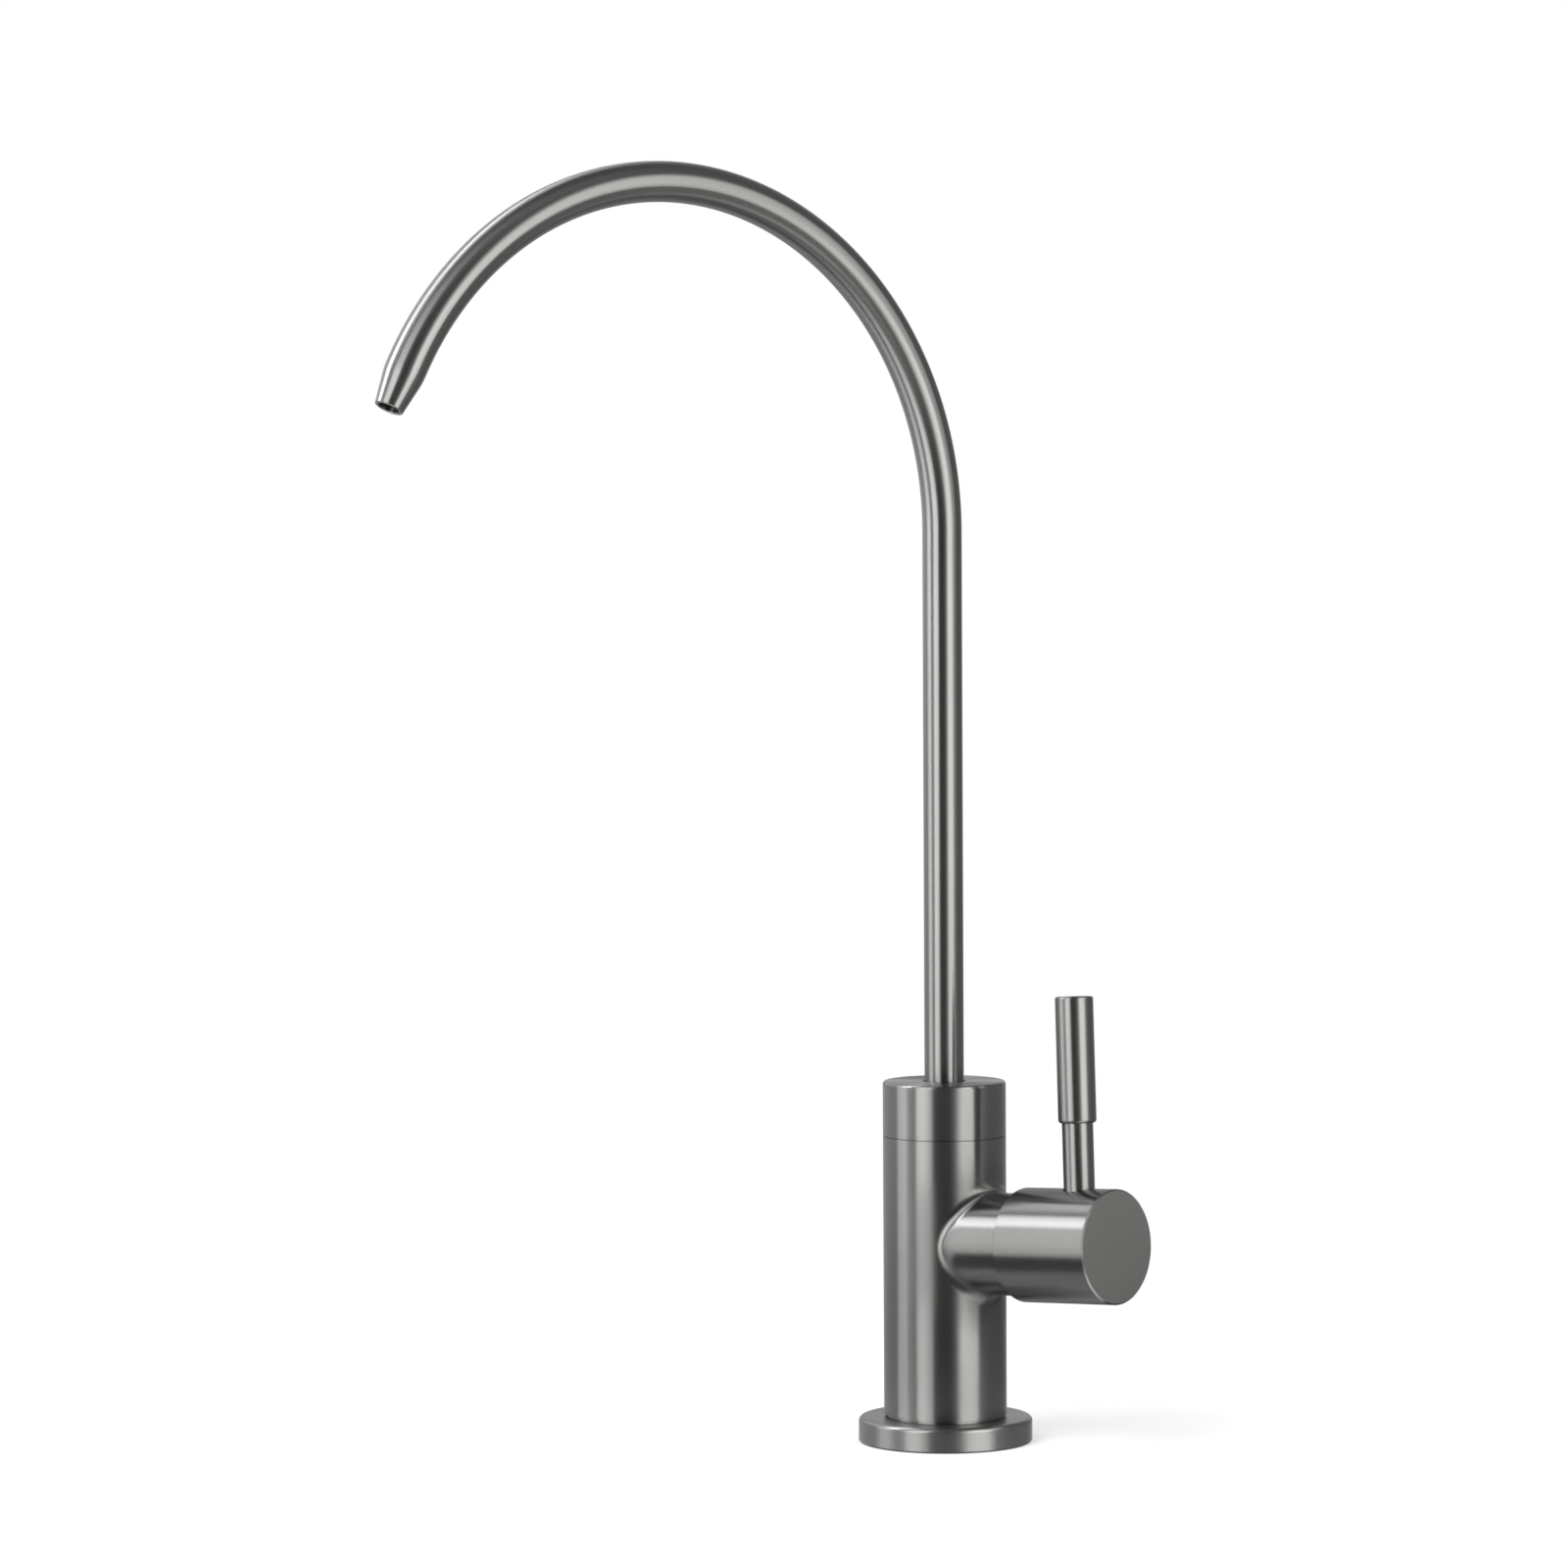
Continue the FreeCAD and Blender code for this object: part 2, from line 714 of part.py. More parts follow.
def lever_sleeve():
    sleeve = rod(sleeve_d, lever_step_r, lever_top_r)
    sleeve = rounded(sleeve, sleeve_round, sleeve_d, lever_step_r)
    sleeve = rounded(sleeve, sleeve_top_round, sleeve_d, lever_top_r)
    entry_end = lever_step_r + sleeve_entry
    sleeve = sleeve.cut(rod(lever_d + 2 * thread_gap, lever_step_r, entry_end))
    drill_end = entry_end + sleeve_spigot_l + sleeve_drill_gap
    sleeve = sleeve.cut(rod(sleeve_spigot_d + 2 * thread_gap, entry_end, drill_end))
    sleeve.rotate(V(), V(0, 1, 0), 90)
    sleeve.translate(V(0, 0, lever_x))
    return sleeve


upright = (
    base_flange, base_gasket, body, top_cap,
    spout_tube, spout_bush, spout_o_rings, lower_slip_ring, upper_slip_ring,
    shank, shank_seal, rubber_washer, steel_washer, lock_washer, mounting_nut,
    tube_fitting, fitting_seal, fitting_o_ring, tube_collet,
)
still_in_valve = (seat_seal, fixed_disc, cartridge_housing, cartridge_o_ring)
turns_with_lever = (
    moving_disc, spindle, spindle_o_rings, thrust_washer, stop_ring, spindle_clip,
    handle_cap, lever_rod, lever_sleeve,
)


def save(shape, name):
    solids = shape.Solids
    print(name, len(solids), round(shape.Volume, 1), shape.isValid())
    if len(solids) == 1:
        shape = solids[0]
    shape.exportStep("parts/" + name + ".step")


for maker in upright:
    save(maker(), maker.__name__)
for maker in still_in_valve:
    save(on_handle_axis(maker()), maker.__name__)
for maker in turns_with_lever:
    save(on_handle_axis(maker(), lever_lean), maker.__name__)
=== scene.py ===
import json
import math

import bmesh
import bpy
from mathutils import Matrix, Vector


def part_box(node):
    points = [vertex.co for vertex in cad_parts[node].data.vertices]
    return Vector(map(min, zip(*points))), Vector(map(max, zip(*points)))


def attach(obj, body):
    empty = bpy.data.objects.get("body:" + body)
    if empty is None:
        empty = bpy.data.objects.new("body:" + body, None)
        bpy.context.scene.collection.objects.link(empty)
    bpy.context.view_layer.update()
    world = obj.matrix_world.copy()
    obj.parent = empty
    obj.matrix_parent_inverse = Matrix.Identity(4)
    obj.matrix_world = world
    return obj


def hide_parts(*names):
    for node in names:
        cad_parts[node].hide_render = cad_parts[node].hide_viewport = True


# Slim gooseneck drinking water faucet in brushed gunmetal steel. Lengths are in metres.
# The frame's nodes keep their shapes. The gooseneck and the shank get meshes of their own.

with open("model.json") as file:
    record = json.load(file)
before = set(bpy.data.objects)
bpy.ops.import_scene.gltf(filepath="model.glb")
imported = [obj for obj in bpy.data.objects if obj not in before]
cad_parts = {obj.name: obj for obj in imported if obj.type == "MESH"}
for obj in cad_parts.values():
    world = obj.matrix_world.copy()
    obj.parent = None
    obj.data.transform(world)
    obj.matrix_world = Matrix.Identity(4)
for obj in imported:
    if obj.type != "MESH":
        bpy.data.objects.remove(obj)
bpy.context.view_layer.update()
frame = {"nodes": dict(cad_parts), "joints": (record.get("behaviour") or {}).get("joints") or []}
NODES = frame["nodes"]
JOINTS = {joint["name"]: joint for joint in frame["joints"]}

# Camera, at the photograph's viewing angle
CAMERA_AZIMUTH = 38.635
CAMERA_DISTANCE = 1.4082
CAMERA_HEIGHT = 0.2239
CAMERA_PAN = -1.574
CAMERA_TILT = -2.568
CAMERA_ROLL = 0.296
FOCAL_PIXELS = 5912.1
PICTURE_PIXELS = 1600
SENSOR_MM = 36.0

# Gooseneck: the solid's own sizes, the way that it points at rest, and the steps of its mesh
TUBE_D = 0.0096
TUBE_WALL = 0.0009
BEND_R = 0.082
BEND_SWEEP = math.radians(152.0)
OUTLET_STRAIGHT = 0.0012
OUTLET_TAPER = 0.0101
OUTLET_D = 0.0068
OUTLET_BLEND_R = 0.018
SPOUT_HEADING = math.radians(-102.8)
RIM_ROUND = 0.0002
ROUNDING_STEP = math.radians(9.0)
BEND_STEP = math.radians(1.5) * BEND_R
RING_CLEARANCE = 0.1
TUBE_SEGMENTS = 96

# Threaded shank: the crest and the root of its thread are shares of the pitch
THREAD_PITCH = 0.0015
THREAD_DEPTH = 0.0008
THREAD_CREST = 0.125
THREAD_ROOT = 0.25
THREAD_COLUMNS = 48
THREAD_MERGE = THREAD_PITCH / 1000
SHANK_BORE_D = 0.007
SHANK_BEVEL = 0.0008
SHARP_ANGLE = math.radians(25.0)

# Axes that the pieces are turned about
UPRIGHT = ((0.0, 0.0, 0.0), (0.0, 0.0, 1.0))
HANDLE_POINT = Vector(JOINTS["handle_turn"]["pos_m"])
HANDLE_OUT = Vector(JOINTS["handle_turn"]["axis"]).normalized()
HANDLE_UP = Vector((-HANDLE_OUT.z, 0.0, HANDLE_OUT.x))
HANDLE_AXIS = (HANDLE_POINT, HANDLE_OUT)
LEVER_LEAN = math.radians(1.8)
LEVER_OUT = HANDLE_UP * math.cos(LEVER_LEAN) + Vector((0.0, math.sin(LEVER_LEAN), 0.0))
LEVER_AXIS = (HANDLE_POINT, LEVER_OUT)
BODY_R = 0.015
BRANCH_R = 0.0124

# Brushing is noise drawn out round the piece. Its lines are this wide, and one turn round the
# piece is a circle of this radius in the noise.
LINE_PITCH = 0.00025
TURN_RADIUS = 3.0
GRAIN_DEPTH = 0.000005
GRAIN_STRENGTH = 0.04
GRAIN_DETAIL = 3.0

# How far the grain's noise spreads, and what it and a broader noise do to a metal's colour
GRAIN_SPREAD = (0.25, 0.75)
SHADE_SPREAD = (0.3, 0.7)
GRAIN_SHADE = (-0.03, 0.03)
BROAD_SHADE = (-0.02, 0.02)
BROAD_SCALE = 60.0
BROAD_DETAIL = 2.0

# On a rounded edge the smear runs this much more along the axis than outward
SMEAR_ALONG = 2.0

# Colours and finishes. A pair of roughnesses is for the grain's low and high.
GUNMETAL = (0.268, 0.268, 0.265)
PLAIN_STEEL = (0.58, 0.58, 0.57)
BRASS = (0.72, 0.53, 0.26)
RUBBER = (0.028, 0.028, 0.03)
SLIP_PLASTIC = (0.80, 0.80, 0.76)
FITTING_PLASTIC = (0.76, 0.77, 0.76)
CERAMIC = (0.84, 0.83, 0.79)
BRUSHED_ROUGHNESS = (0.276, 0.288)
BRUSHED_SMEAR = 0.985
BASE_ROUGHNESS = (0.28, 0.32)
BASE_SMEAR = 0.65
TURNED_ROUGHNESS = (0.28, 0.36)
TURNED_SMEAR = 0.5
# The lever's gunmetal is made darker by this share: painted shade, which stands in for darker reflections
# round the lever
LEVER_PAINTED_SHADE = 0.96
MOULDED_STRENGTH = 0.5
MOULDED_SCALE = 120.0

# The blasted end of the handle: how squarely a point faces outward where its finish begins
FACE_ROUGHNESS = 0.30
FACE_EDGE = (0.85, 0.95)
FACE_FLAT = (0.95, 0.99)

# The fillet round the branch, which is brushed less finely, and where that fades out
FILLET_ROUGHNESS = 0.40
FILLET_SIZE = 0.0032
FILLET_START = 0.2
FILLET_FADE = 0.009
FILLET_SIDE = BODY_R / 3


def add_camera():
    """The camera faces the body's axis, and is then panned, tilted and rolled a little."""
    turn = Matrix.Rotation(math.radians(CAMERA_AZIMUTH), 3, "Z")
    pan, tilt, roll = (math.radians(angle) for angle in (CAMERA_PAN, CAMERA_TILT, CAMERA_ROLL))
    forward = Vector((math.sin(pan) * math.cos(tilt), math.cos(pan) * math.cos(tilt), math.sin(tilt)))
    level = Vector((math.cos(pan), -math.sin(pan), 0.0))
    upward = level.cross(forward)
    right = level * math.cos(roll) - upward * math.sin(roll)
    up = level * math.sin(roll) + upward * math.cos(roll)
    axes = Matrix((turn @ right, turn @ up, turn @ -forward)).transposed().to_4x4()
    lens = bpy.data.cameras.new("camera")
    lens.sensor_width = SENSOR_MM
    lens.lens = FOCAL_PIXELS * SENSOR_MM / PICTURE_PIXELS
    camera = bpy.data.objects.new("camera", lens)
    bpy.context.scene.collection.objects.link(camera)
    place = turn @ Vector((0.0, -CAMERA_DISTANCE, CAMERA_HEIGHT))
    camera.matrix_world = Matrix.Translation(place) @ axes
    bpy.context.scene.camera = camera


# Shader graphs
class Graph:
    """Adds shader nodes to one material or world and joins them."""

    def __init__(self, owner):
        owner.use_nodes = True
        self.nodes = owner.node_tree.nodes
        self.links = owner.node_tree.links
        self.nodes.clear()

    def add(self, kind, inputs=None, **settings):
        node = self.nodes.new("ShaderNode" + kind)
        for name, value in settings.items():
            setattr(node, name, value)
        for name, value in (inputs or {}).items():
            self.set(node.inputs[name], value)
        return node

    def set(self, socket, value):
        if isinstance(value, bpy.types.NodeSocket):
            self.links.new(value, socket)
        else:
            socket.default_value = value

    def math(self, operation, first, second=0.0):
        return self.add("Math", {0: first, 1: second}, operation=operation).outputs[0]

    def vector(self, operation, first, second=(0.0, 0.0, 0.0), output="Vector"):
        node = self.add("VectorMath", {0: first, 1: second}, operation=operation)
        return node.outputs[output]

    def scaled(self, vector, factor):
        node = self.add("VectorMath", {"Vector": vector, "Scale": factor}, operation="SCALE")
        return node.outputs["Vector"]

    def mapped(self, value, low, high, new_low, new_high, curve="LINEAR"):
        inputs = {"Value": value, 1: low, 2: high, 3: new_low, 4: new_high}
        return self.add("MapRange", inputs, interpolation_type=curve).outputs["Result"]

    def noise(self, vector, scale=1.0, detail=2.0, w=None):
        inputs = {"Vector": vector, "Scale": scale, "Detail": detail}
        if w is not None:
            inputs["W"] = w
        return self.add("TexNoise", inputs, noise_dimensions="3D" if w is None else "4D").outputs["Fac"]


def new_graph(name):
    material = bpy.data.materials.new(name)
    return material, Graph(material)


def shown_white(graph):
    """1 for what the camera, metal and glass see, 0 for what lights the rest."""
    ray = graph.add("LightPath")
    seen = graph.math("MAXIMUM", ray.outputs["Is Camera Ray"], ray.outputs["Is Glossy Ray"])
    return graph.math("MAXIMUM", seen, ray.outputs["Is Transmission Ray"])


# World and floor
WHITE = (1.0, 1.0, 1.0, 1.0)
WORLD_LIGHT = 0.55
FLOOR_RADIUS = 2.5
FLOOR_COLOUR = (0.8, 0.8, 0.8, 1.0)
FLOOR_LIFT = 0.35
FLOOR_FADE = (0.12, 0.55)
FLOOR_GRAIN_SCALE = 900.0
FLOOR_GRAIN_STRENGTH = 0.05
FLOOR_GRAIN_DEPTH = 0.0002


def add_world():
    world = bpy.data.worlds.new("world")
    bpy.context.scene.world = world
    graph = Graph(world)
    strength = graph.mapped(shown_white(graph), 0.0, 1.0, WORLD_LIGHT, 1.0)
    background = graph.add("Background", {"Color": WHITE, "Strength": strength})
    output = graph.add("OutputWorld")
    graph.set(output.inputs["Surface"], background.outputs[0])


def add_floor():
    material, graph = new_graph("floor_paper")
    grain = graph.noise(graph.add("TexCoord").outputs["Object"], FLOOR_GRAIN_SCALE)
    relief = {"Height": grain, "Strength": FLOOR_GRAIN_STRENGTH, "Distance": FLOOR_GRAIN_DEPTH}
    bump = graph.add("Bump", relief)
    paper = graph.add("BsdfDiffuse", {"Color": FLOOR_COLOUR, "Normal": bump.outputs[0]})
    seen = shown_white(graph)
    lift = graph.math("MULTIPLY", seen, FLOOR_LIFT)
    glow = graph.add("Emission", {"Color": WHITE, "Strength": lift})
    near = graph.add("AddShader", {0: paper.outputs[0], 1: glow.outputs[0]})
    away = graph.vector("LENGTH", graph.add("TexCoord").outputs["Object"], output="Value")
    fade = graph.mapped(away, *FLOOR_FADE, 0.0, 1.0, "SMOOTHSTEP")
    far = graph.add("Emission", {"Color": WHITE, "Strength": 1.0})
    share = graph.math("MULTIPLY", fade, seen)
    both = graph.add("MixShader", {0: share, 1: near.outputs[0], 2: far.outputs[0]})
    below = graph.add("NewGeometry").outputs["Backfacing"]
    hidden = graph.math("MULTIPLY", below, graph.add("LightPath").outputs["Is Camera Ray"])
    clear = graph.add("BsdfTransparent")
    surface = graph.add("MixShader", {0: hidden, 1: both.outputs[0], 2: clear.outputs[0]})
    graph.set(graph.add("OutputMaterial").inputs["Surface"], surface.outputs[0])
    mesh = bpy.data.meshes.new("floor")
    corners = [(-1, -1), (1, -1), (1, 1), (-1, 1)]
    points = [(FLOOR_RADIUS * x, FLOOR_RADIUS * y, 0.0) for x, y in corners]
    mesh.from_pydata(points, [], [(0, 1, 2, 3)])
    mesh.materials.append(material)
    floor = bpy.data.objects.new("floor", mesh)
    bpy.context.scene.collection.objects.link(floor)
    floor.visible_glossy = False


# Lamps light the floor and the dull pieces. The metal shows the studio: softboxes with grey
# flags between them, as a photographer sets round bright metal. Only reflections see the studio.
LAMP_DISTANCE = 1.6


def direction(azimuth, elevation):
    """A unit vector from the piece: its azimuth is 0 towards the camera and grows to the right."""
    turn = math.radians(CAMERA_AZIMUTH + azimuth)
    rise = math.radians(elevation)
    return Vector((math.sin(turn) * math.cos(rise), -math.cos(turn) * math.cos(rise), math.sin(rise)))


def add_lamp(name, azimuth, elevation, power, size):
    lamp = bpy.data.lights.new(name, "AREA")
    lamp.energy = power
    lamp.size = size
    holder = bpy.data.objects.new(name, lamp)
    bpy.context.scene.collection.objects.link(holder)
    away = direction(azimuth, elevation)
    holder.location = away * LAMP_DISTANCE
    holder.rotation_euler = away.to_track_quat("Z", "Y").to_euler()
    holder.visible_glossy = False


# The round wall. A panel of a higher layer stands nearer by this share of the radius.
WALL_RADIUS = 0.65
WALL_LOW = -0.30
WALL_HIGH = 1.60
LAYER_STEP = 0.01
PANEL_STEP = 4.0
PANEL_ROWS = 12
CARD_ROWS = 4
RING_STEPS = 48
WALL_LIGHT = 0.25
CEILING_GAP = 0.01
CEILING_LIGHT = 0.15
GROUND_LIGHT = 0.20
PLAIN = (1.0, 1.0, 1.0)
WARM = (1.0, 0.993, 0.972)
COOL = (0.968, 0.975, 1.0)

# The table. Each pair holds the distances between which its light changes, and its gloss grows
# from the first of the angles above it down to the second.
TABLE_HEIGHT = 0.0004
TABLE_FADE = (0.42, 0.60)
TABLE_RING = (0.035, 0.060)
TABLE_RING_LIGHT = 0.40
TABLE_LIGHT = 0.07
TABLE_ROUGHNESS = 0.2
TABLE_RISE = (0.09, 0.40)
TABLE_FAR_LIGHT = 0.40
TABLE_GLOSS = (0.04, 0.97)
TABLE_GLOSS_ANGLES = (math.radians(16.0), math.radians(7.0))

# Where a card on the table begins, is whole, begins to fade and ends
WIDE_CARD = (0.13, 0.24, *TABLE_FADE)
CLOSE_CARD = (0.045, 0.075, 0.13, 0.22)


def add_studio_mesh(name, place, across, upward, material):
    """A grid of faces from place(u, v), seen by reflections alone."""
    points = []
    for row in range(upward + 1):
        for column in range(across + 1):
            points.append(place(column / across, row / upward))
    wide = across + 1
    faces = []
    uvs = []
    for row in range(upward):
        for column in range(across):
            corner = row * wide + column
            faces.append((corner, corner + 1, corner + wide + 1, corner + wide))
            left, right = column / across, (column + 1) / across
            low, high = row / upward, (row + 1) / upward
            uvs.extend(((left, low), (right, low), (right, high), (left, high)))
    mesh = bpy.data.meshes.new(name)
    mesh.from_pydata(points, [], faces)
    layer = mesh.uv_layers.new(name="UVMap")
    for index, uv in enumerate(uvs):
        layer.data[index].uv = uv
    material.cycles.emission_sampling = "NONE"
    mesh.materials.append(material)
    panel = bpy.data.objects.new(name, mesh)
    bpy.context.scene.collection.objects.link(panel)
    panel.visible_camera = False
    panel.visible_diffuse = False
    panel.visible_transmission = False
    panel.visible_volume_scatter = False
    panel.visible_shadow = False


def table_gloss(graph):
    """How much of a mirror the table is: hardly one from above, and nearly a full one at a low angle."""
    facing = graph.add("LayerWeight", {"Blend": 0.5}).outputs["Facing"]
    steep, grazing = (1 - math.sin(angle) for angle in TABLE_GLOSS_ANGLES)
    return graph.mapped(facing, steep, grazing, *TABLE_GLOSS, "SMOOTHSTEP")


def panel_material(name, light, tint, fades, under_gloss=False):
    """Light that fades out inside each edge over a share of the panel: left, right, low and high."""
    material, graph = new_graph(name)
    place = graph.add("SeparateXYZ", {0: graph.add("UVMap", uv_map="UVMap").outputs[0]})
    share = 1.0
    for axis, first, last in (("X", fades[0], fades[1]), ("Y", fades[2], fades[3])):
        inside = place.outputs[axis]
        beyond = graph.math("SUBTRACT", 1.0, inside)
        for distance, fade in ((inside, first), (beyond, last)):
            if fade > 0:
                step = graph.mapped(distance, 0.0, fade, 0.0, 1.0, "SMOOTHSTEP")
                share = graph.math("MULTIPLY", share, step)
    if under_gloss:
        share = graph.math("MULTIPLY", share, graph.math("SUBTRACT", 1.0, table_gloss(graph)))
    glow = graph.add("Emission", {"Color": (*tint, 1.0), "Strength": light})
    clear = graph.add("BsdfTransparent")
    both = graph.add("MixShader", {0: share, 1: clear.outputs[0], 2: glow.outputs[0]})
    graph.set(graph.add("OutputMaterial").inputs["Surface"], both.outputs[0])
    return material


def add_panel(name, low, high, heights, light, tint=PLAIN, soft=(0, 0, 0, 0), layer=0):
    """A panel on the round wall: its azimuths at the low and the high edge, and its heights. Its light
    fades in over so many degrees from the left and the right edge, and metres from the low and the high."""
    radius = WALL_RADIUS * (1 - LAYER_STEP * layer)
    width = (low[1] - low[0] + high[1] - high[0]) / 2
    rise = heights[1] - heights[0]

    def place(u, v):
        left = low[0] + (high[0] - low[0]) * v
        right = low[1] + (high[1] - low[1]) * v
        out = direction(left + (right - left) * u, 0.0) * radius
        return out + Vector((0.0, 0.0, heights[0] + rise * v))

    fades = (soft[0] / width, soft[1] / width, soft[2] / rise, soft[3] / rise)
    material = panel_material(name, light, tint, fades)
    add_studio_mesh(name, place, math.ceil(width / PANEL_STEP), PANEL_ROWS, material)


def add_disc(name, height, light):
    """A round panel that closes the wall above or below."""

    def place(u, v):
        return direction(360.0 * u, 0.0) * WALL_RADIUS * v + Vector((0.0, 0.0, height))

    add_studio_mesh(name, place, RING_STEPS, 1, panel_material(name, light, PLAIN, (0, 0, 0, 0)))


def add_table():
    """A small dark glossy table. It mirrors the softboxes at a low angle, and is light round the base."""
    material, graph = new_graph("table")
    away = graph.vector("LENGTH", graph.add("TexCoord").outputs["Object"], output="Value")
    near = graph.mapped(away, *TABLE_RING, TABLE_RING_LIGHT, TABLE_LIGHT, "SMOOTHSTEP")
    far = graph.mapped(away, *TABLE_RISE, 0.0, TABLE_FAR_LIGHT, "SMOOTHSTEP")
    glow = graph.add("Emission", {"Color": WHITE, "Strength": graph.math("ADD", near, far)})
    mirror = graph.add("BsdfGlossy", {"Color": WHITE, "Roughness": TABLE_ROUGHNESS})
    table = graph.add("MixShader", {0: table_gloss(graph), 1: glow.outputs[0], 2: mirror.outputs[0]})
    share = graph.mapped(away, *TABLE_FADE, 1.0, 0.0, "SMOOTHSTEP")
    clear = graph.add("BsdfTransparent")
    both = graph.add("MixShader", {0: share, 1: clear.outputs[0], 2: table.outputs[0]})
    graph.set(graph.add("OutputMaterial").inputs["Surface"], both.outputs[0])

    def place(u, v):
        return direction(360.0 * u, 0.0) * TABLE_FADE[1] * v + Vector((0.0, 0.0, TABLE_HEIGHT))

    add_studio_mesh("table", place, RING_STEPS, 1, material)


def add_level_card(name, azimuths, reach, height, light, tint, soft, under_gloss=False):
    """A level card, part of a ring round the piece: its azimuths, and how far out it starts and ends."""
    first, last = azimuths
    near, far = reach

    def place(u, v):
        out = near + (far - near) * v
        return direction(first + (last - first) * u, 0.0) * out + Vector((0.0, 0.0, height))

    width = last - first
    depth = far - near
    fades = (soft[0] / width, soft[1] / width, soft[2] / depth, soft[3] / depth)
    material = panel_material(name, light, tint, fades, under_gloss)
    add_studio_mesh(name, place, math.ceil(width / PANEL_STEP), CARD_ROWS, material)


def add_table_cards():
    """Cards under the table's gloss carry the wall's light and dark on, for what is seen from higher up."""

    def add(name, azimuths, light, tint, left, right, layer, stops=WIDE_CARD):
        begins, whole, fades, ends = stops
        soft = (left, right, whole - begins, ends - fades)
        height = TABLE_HEIGHT * (1 + layer)
        add_level_card(name, azimuths, (begins, ends), height, light, tint, soft, under_gloss=True)

    add("table_card_left", (-176, -94), 0.5, PLAIN, 6, 3, 1)
    add("table_card_right", (58, 152), 0.3, PLAIN, 4, 10, 1)
    add("table_card_back", (145, 198), 0.5, PLAIN, 8, 8, 2)
    add("table_strip_left", (-97, -73), 1.4, WARM, 3, 3, 2)
    add("table_gap_left", (-76, -54), 0.6, COOL, 3, 3, 3)
    add("table_softbox_left", (-57, -22), 2.0, WARM, 3, 14, 4)
    add("table_softbox_right", (12, 68), 0.45, WARM, 14, 16, 4)
    add("table_softbox_near", (14, 68), 1.7, WARM, 14, 12, 5, CLOSE_CARD)


def add_studio():
    """The wall, the panels before it from the farthest layer to the nearest, and the table."""
    add_disc("room_top", WALL_HIGH, CEILING_LIGHT)
    add_disc("room_bottom", WALL_LOW, GROUND_LIGHT)
    add_panel("room_wall", (-180, 180), (-180, 180), (WALL_LOW, WALL_HIGH), WALL_LIGHT)
    add_table()
    add_panel("high_card", (-90, 10), (-150, 20), (0.55, WALL_HIGH), 0.24, PLAIN, (10, 20, 0.2, 0.2), 1)
    add_panel("side_card", (-176, -90), (-176, -90), (-0.1, 0.5), 0.52, PLAIN, (10, 4, 0.1, 0.1), 1)
    add_panel("side_card_high", (-150, -90), (-186, -90), (0.06, 0.84), 1.0, PLAIN, (10, 4, 0.2, 0.16), 2)
    add_panel("back_card", (148, 196), (148, 196), (0.03, 0.80), 0.55, PLAIN, (8, 12, 0.05, 0.25), 2)
    add_panel("card_right", (56, 104), (56, 104), (0.05, 0.65), 0.42, PLAIN, (0, 30, 0.1, 0.2), 2)
    add_panel("strip_left", (-96, -73), (-105, -68), (-0.18, 0.44), 2.0, WARM, (3, 3, 0.28, 0), 3)
    add_panel("gap_left", (-76, -54), (-76, -50), (-0.22, 0.10), 0.68, COOL, (3, 3, 0.2, 0), 4)
    add_panel("gap_left_high", (-76, -54), (-76, -50), (0.10, 0.75), 0.85, COOL, (3, 3, 0, 0.2), 4)
    add_panel("card_left_high", (-88, -56), (-84, -56), (0.76, 1.06), 1.5, COOL, (6, 8, 0.05, 0.15), 4)
    add_panel("softbox_high", (-100, -69), (-104, -80), (0.41, 0.82), 8.5, COOL, (6, 6, 0.03, 0.16), 5)
    add_panel("softbox_top", (-148, -86), (-152, -90), (0.86, 1.56), 4.2, COOL, (8, 8, 0.1, 0.1), 5)
    add_panel("softbox_left", (-57, -25), (-50, -10), (-0.25, 1.1), 2.95, WARM, (3, 8, 0.25, 0.75), 5)
    add_panel("softbox_right", (14, 64), (33, 94), (-0.06, 0.85), 3.3, WARM, (18, 12, 0.1, 0.45), 5)
    add_panel("flag_left_low", (-40, -20), (-40, -20), (-0.25, 0.12), 1.15, WARM, (12, 4, 0.05, 0.06), 6)
    add_panel("flag_right", (50, 84), (56, 96), (0.24, 0.62), 1.8, WARM, (6, 6, 0.08, 0.1), 6)
    add_panel("flag_front", (-25, 14), (-19, 18), (-0.1, 0.95), 0.08, COOL, (6, 6, 0.1, 0.2), 7)
    top = WALL_HIGH - CEILING_GAP
    add_level_card("top_card", (-170, -85), (0.30, WALL_RADIUS), top, 1.3, PLAIN, (17, 17, 0.1, 0))
    add_table_cards()


# Meshes swept round a path
def rounded_outline(corners, step=ROUNDING_STEP):
    """Points and outward normals of a closed outline. A corner is (out, along, rounding), anticlockwise."""
    points = []
    count = len(corners)
    for number, (out, along, rounding) in enumerate(corners):
        here = Vector((out, along))
        before = (Vector(corners[number - 1][:2]) - here).normalized()
        after = (Vector(corners[(number + 1) % count][:2]) - here).normalized()
        turn = math.pi - before.angle(after)
        side = 1.0 if after.x * before.y - after.y * before.x > 0 else -1.0
        setback = rounding * math.tan(turn / 2)
        middle = (before + after).normalized()
        centre = here + middle * math.hypot(setback, rounding)
        start = here + before * setback - centre
        steps = max(2, math.ceil(turn / step))
        for index in range(steps + 1):
            angle = side * turn * index / steps
            arm = Vector((
                start.x * math.cos(angle) - start.y * math.sin(angle),
                start.x * math.sin(angle) + start.y * math.cos(angle),
            ))
            points.append((centre + arm, arm.normalized() * side))
    return points


